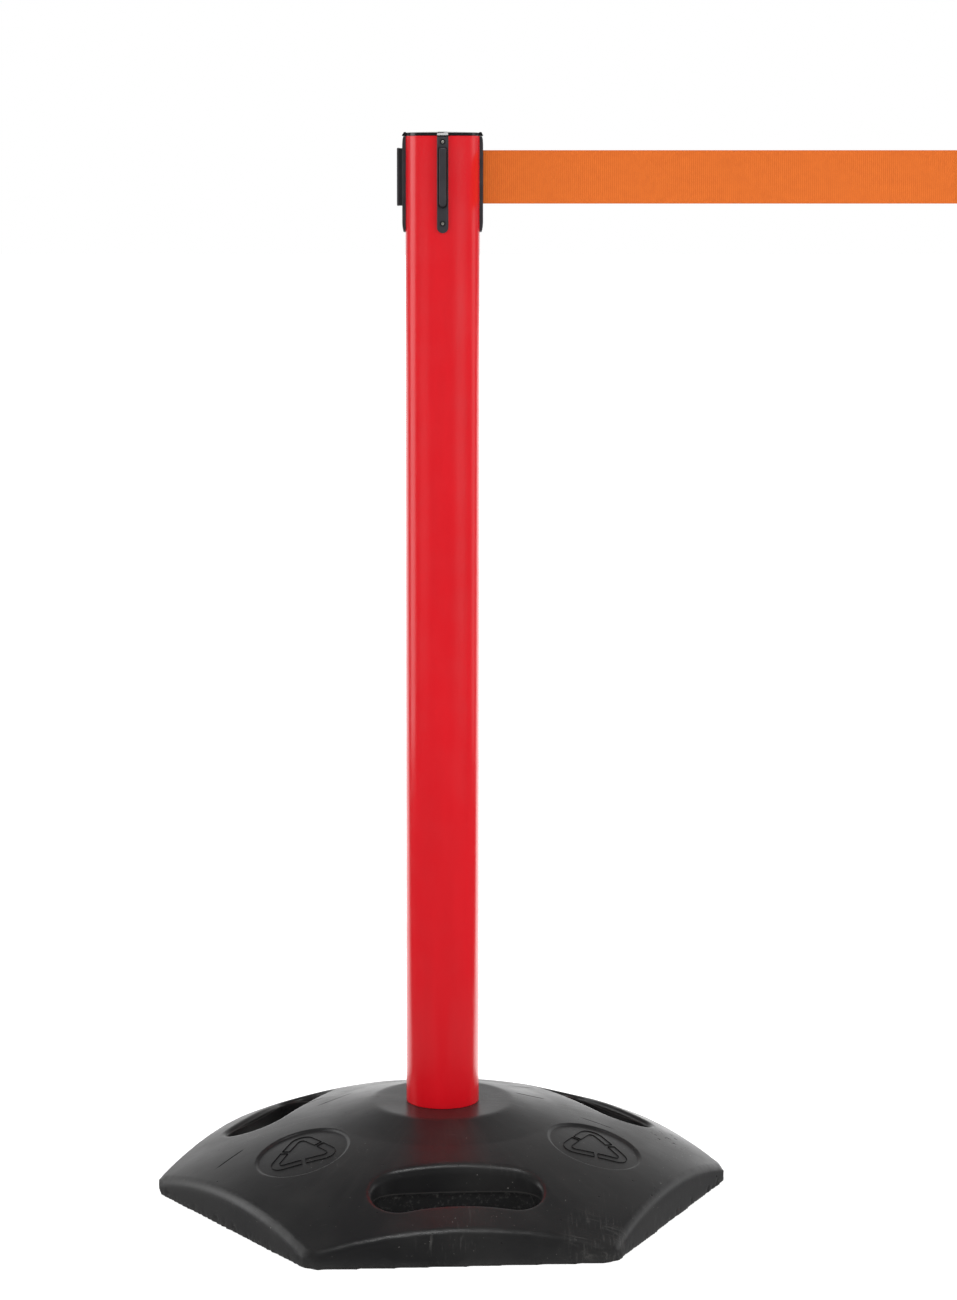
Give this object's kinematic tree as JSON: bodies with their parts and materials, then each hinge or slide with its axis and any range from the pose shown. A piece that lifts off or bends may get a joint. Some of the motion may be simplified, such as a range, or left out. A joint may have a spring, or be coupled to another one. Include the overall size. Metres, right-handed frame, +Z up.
{
  "type": "retractable belt barrier post",
  "caption": "Plastic queue barrier post on a hexagonal rubber base, with a retractable belt, T-rail receivers and a sliding belt clip.",
  "frame": {"origin": "on the floor, under the axis of the post", "axes": "+Z up along the post, the belt is pulled out along +X, the front faces -Y"},
  "size_m": [0.7907, 0.4998, 1.016],
  "materials": {
    "base_rubber": "moulded recycled rubber, satin, scuffed",
    "red_tube": "gloss red plastic tube",
    "gloss_black": "gloss black moulding",
    "grey_moulding": "satin dark grey moulding",
    "black_moulding": "satin black moulding",
    "screw_steel": "zinc-plated screw",
    "zinc_steel": "zinc-plated steel",
    "spring_steel": "blued spring steel",
    "nylon": "natural nylon",
    "belt_webbing": "woven orange polyester"
  },
  "bodies": {
    "post": {"rubber_base": "base_rubber", "base_washer": "zinc_steel", "lock_washer": "zinc_steel", "base_bolt": "zinc_steel", "foot_plug": "black_moulding", "plug_nut": "zinc_steel", "post_tube": "red_tube", "head_cap": "gloss_black", "receiver_front": "grey_moulding", "receiver_left": "grey_moulding", "receiver_back": "grey_moulding", "belt_mouth": "grey_moulding", "receiver_screws": "screw_steel", "cassette_cup": "black_moulding", "cassette_lid": "black_moulding", "spindle": "zinc_steel", "spindle_clip": "spring_steel", "power_spring": "spring_steel"},
    "spool": {"lower_bush": "nylon", "upper_bush": "nylon", "spool_hub": "nylon", "spool_flange": "nylon", "belt_roll": "belt_webbing"},
    "belt_end": {"belt": "belt_webbing", "clip_body": "black_moulding", "clip_cap": "black_moulding", "loop_pin": "zinc_steel"}
  },
  "joints": [
    {"name": "belt_pull", "type": "slide", "parent": "post", "child": "belt_end", "axis": [1, 0, 0], "range_m": [-0.461, 2.85], "deforming": ["belt"]},
    {"name": "spool_spin", "type": "hinge", "parent": "post", "child": "spool", "pos_m": [0, 0, 0.9], "axis": [0, 0, 1], "range_deg": [-9720, 1620], "deforming": ["power_spring"]}
  ],
  "couplings": [
    {"joint": "spool_spin", "follows": "belt_pull", "rad_per_m": -59.2}
  ]
}
